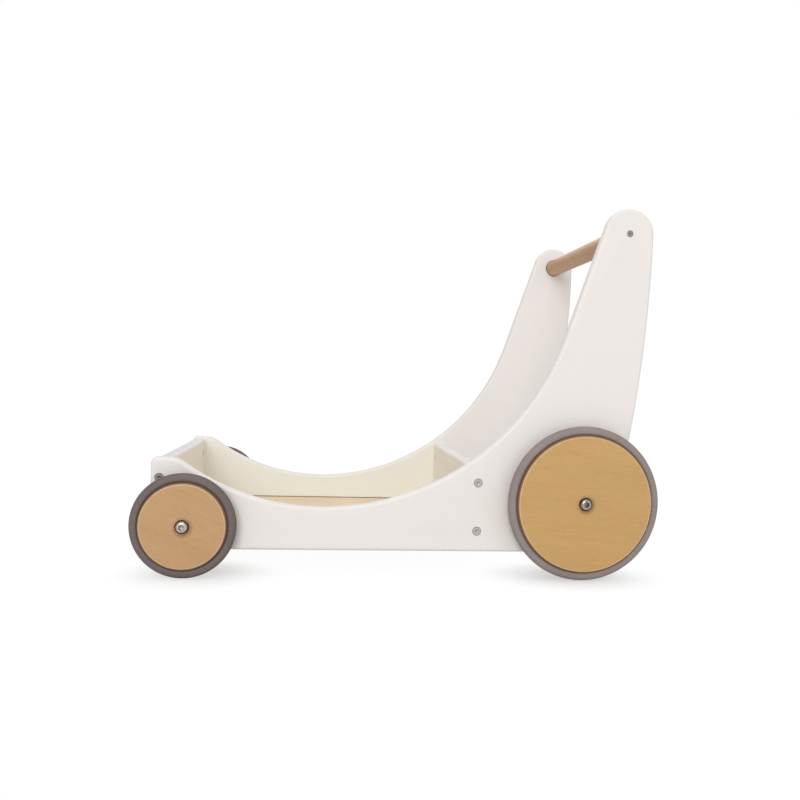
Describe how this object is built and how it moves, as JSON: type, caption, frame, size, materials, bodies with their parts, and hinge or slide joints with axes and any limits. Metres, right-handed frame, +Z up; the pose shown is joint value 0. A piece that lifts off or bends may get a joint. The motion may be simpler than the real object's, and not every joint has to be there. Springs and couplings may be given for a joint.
{
  "type": "baby push walker",
  "caption": "Wooden push walker: white side panels sweep from a low cargo cradle up to posts that hold a round push bar; wooden wheels with rubber tyres.",
  "frame": {"origin": "on the floor, midway along and across the walker", "axes": "+X to the rear, where the child stands and holds the bar; +Y to the walker's right side; +Z up"},
  "size_m": [0.575, 0.3532, 0.4163],
  "materials": {
    "white_lacquer": "sprayed white lacquer on board, satin",
    "clear_plywood": "plywood under clear lacquer",
    "turned_beech": "turned bar under clear lacquer",
    "wheel_wood": "straight-grained wood under satin clear lacquer",
    "grey_rubber": "moulded grey rubber, satin",
    "white_nylon": "moulded nylon",
    "nickel_steel": "nickel-plated steel",
    "zinc_steel": "bright zinc-plated steel",
    "dark_steel": "dark plated steel"
  },
  "bodies": {
    "frame": {"side_panel_left": "white_lacquer", "side_panel_right": "white_lacquer", "front_board": "white_lacquer", "rear_board": "white_lacquer", "cargo_floor": "clear_plywood", "handle_bar": "turned_beech", "handle_screw_left": "dark_steel", "handle_screw_right": "dark_steel", "connector_bolt_front_upper_left": "zinc_steel", "barrel_nut_front_upper_left": "zinc_steel", "connector_bolt_front_upper_right": "zinc_steel", "barrel_nut_front_upper_right": "zinc_steel", "connector_bolt_front_lower_left": "zinc_steel", "barrel_nut_front_lower_left": "zinc_steel", "connector_bolt_front_lower_right": "zinc_steel", "barrel_nut_front_lower_right": "zinc_steel", "connector_bolt_rear_upper_left": "zinc_steel", "barrel_nut_rear_upper_left": "zinc_steel", "connector_bolt_rear_upper_right": "zinc_steel", "barrel_nut_rear_upper_right": "zinc_steel", "connector_bolt_rear_lower_left": "zinc_steel", "barrel_nut_rear_lower_left": "zinc_steel", "connector_bolt_rear_lower_right": "zinc_steel", "barrel_nut_rear_lower_right": "zinc_steel", "axle_bolt_front_left": "nickel_steel", "axle_washer_front_left": "zinc_steel", "axle_spacer_front_left": "white_nylon", "axle_sleeve_front_left": "zinc_steel", "axle_bolt_front_right": "nickel_steel", "axle_washer_front_right": "zinc_steel", "axle_spacer_front_right": "white_nylon", "axle_sleeve_front_right": "zinc_steel", "axle_bolt_rear_left": "nickel_steel", "axle_washer_rear_left": "zinc_steel", "axle_spacer_rear_left": "white_nylon", "axle_sleeve_rear_left": "zinc_steel", "axle_bolt_rear_right": "nickel_steel", "axle_washer_rear_right": "zinc_steel", "axle_spacer_rear_right": "white_nylon", "axle_sleeve_rear_right": "zinc_steel"},
    "wheel_front_left": {"wheel_disc_front_left": "wheel_wood", "tyre_front_left": "grey_rubber", "wheel_bush_front_left": "white_nylon"},
    "wheel_front_right": {"wheel_disc_front_right": "wheel_wood", "tyre_front_right": "grey_rubber", "wheel_bush_front_right": "white_nylon"},
    "wheel_rear_left": {"wheel_disc_rear_left": "wheel_wood", "tyre_rear_left": "grey_rubber", "wheel_bush_rear_left": "white_nylon"},
    "wheel_rear_right": {"wheel_disc_rear_right": "wheel_wood", "tyre_rear_right": "grey_rubber", "wheel_bush_rear_right": "white_nylon"}
  },
  "joints": [
    {"name": "wheel_front_left_spin", "type": "hinge", "parent": "frame", "child": "wheel_front_left", "pos_m": [-0.2318, -0.1655, 0.0557], "axis": [0, -1, 0], "continuous": true},
    {"name": "wheel_front_right_spin", "type": "hinge", "parent": "frame", "child": "wheel_front_right", "pos_m": [-0.2318, 0.1655, 0.0557], "axis": [0, -1, 0], "continuous": true},
    {"name": "wheel_rear_left_spin", "type": "hinge", "parent": "frame", "child": "wheel_rear_left", "pos_m": [0.202, -0.1655, 0.0855], "axis": [0, -1, 0], "continuous": true},
    {"name": "wheel_rear_right_spin", "type": "hinge", "parent": "frame", "child": "wheel_rear_right", "pos_m": [0.202, 0.1655, 0.0855], "axis": [0, -1, 0], "continuous": true}
  ]
}
